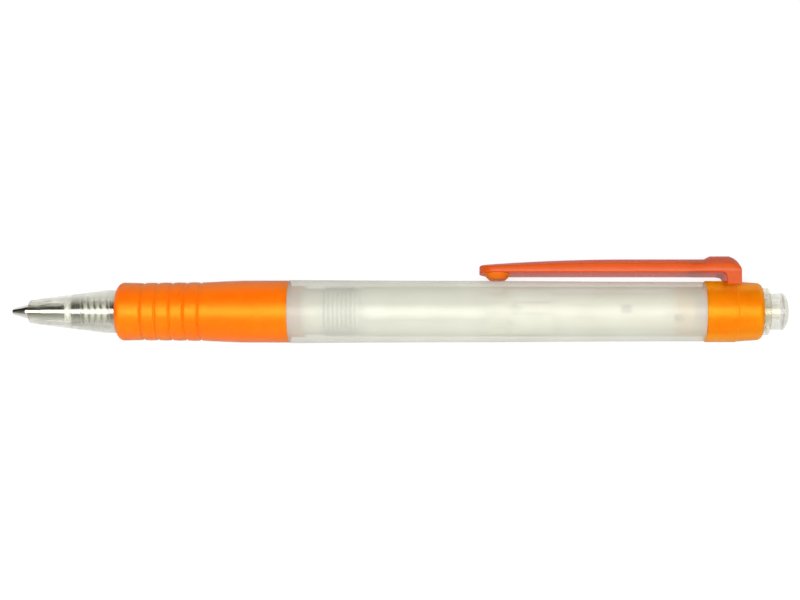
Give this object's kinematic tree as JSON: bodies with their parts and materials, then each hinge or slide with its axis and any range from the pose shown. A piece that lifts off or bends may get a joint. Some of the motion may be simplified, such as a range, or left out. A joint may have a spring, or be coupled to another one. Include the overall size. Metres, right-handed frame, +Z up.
{
  "type": "pushbutton ballpoint pen",
  "caption": "Slim pushbutton ballpoint pen with a clear nose, ringed orange grip, frosted barrel, orange collar with a long pocket clip, and a clear click button.",
  "frame": {"origin": "middle of the floor area under the pen's bounding box, as the pen lies at rest", "axes": "+X along the pen from the writing tip to the button, +Y to the side that the clip is on, +Z up from the surface that the pen lies on"},
  "size_m": [0.1422, 0.0158, 0.0115],
  "materials": {
    "clear_plastic": "clear, colourless polycarbonate, polished, slightly grey-green at thick sections",
    "grip_plastic": "translucent orange, satin outside, glows where light passes through",
    "frosted_plastic": "frosted natural plastic, milky and translucent, fine satin surface",
    "collar_plastic": "translucent orange, polished",
    "clip_plastic": "opaque orange-red, moulded, polished",
    "mechanism_plastic": "natural acetal, matt",
    "refill_plastic": "whitish translucent tube, satin",
    "spring_steel": "bright drawn wire",
    "tip_metal": "turned nickel silver",
    "ball_metal": "polished carbide ball",
    "ink_fill": "thick blue ink",
    "follower_grease": "clear yellowish grease"
  },
  "bodies": {
    "body": {"nose_cone": "clear_plastic", "grip_sleeve": "grip_plastic", "barrel": "frosted_plastic", "collar": "collar_plastic", "button_bush": "clear_plastic", "spring": "spring_steel"},
    "button": {"push_button": "clear_plastic", "plunger": "mechanism_plastic"},
    "refill": {"refill_tube": "refill_plastic", "writing_tip": "tip_metal", "ink": "ink_fill", "ink_follower": "follower_grease"},
    "cam": {"rotating_cam": "mechanism_plastic"},
    "ball": {"ball": "ball_metal"},
    "clip": {"clip": "clip_plastic"}
  },
  "joints": [
    {"name": "button_slide", "type": "slide", "parent": "body", "child": "button", "axis": [1, 0, 0], "range_m": [-0.0008, 0.0045]},
    {"name": "refill_slide", "type": "slide", "parent": "body", "child": "refill", "axis": [1, 0, 0], "range_m": [-0.0008, 0.0045], "deforming": ["spring"]},
    {"name": "cam_turn", "type": "hinge", "parent": "refill", "child": "cam", "pos_m": [0.0158, -0.00211, 0.00577], "axis": [1, 0, 0], "continuous": true},
    {"name": "ball_roll", "type": "hinge", "parent": "refill", "child": "ball", "pos_m": [-0.07056, -0.00211, 0.00577], "axis": [0, 1, 0], "continuous": true},
    {"name": "clip_flex", "type": "hinge", "parent": "body", "child": "clip", "pos_m": [0.06094, 0.00328, 0.00427], "axis": [0, -0.2692, -0.9631], "range_deg": [0, 3], "stiffness_Nm_per_rad": 0.85}
  ],
  "couplings": [
    {"joint": "refill_slide", "follows": "button_slide", "ratio": 1}
  ]
}
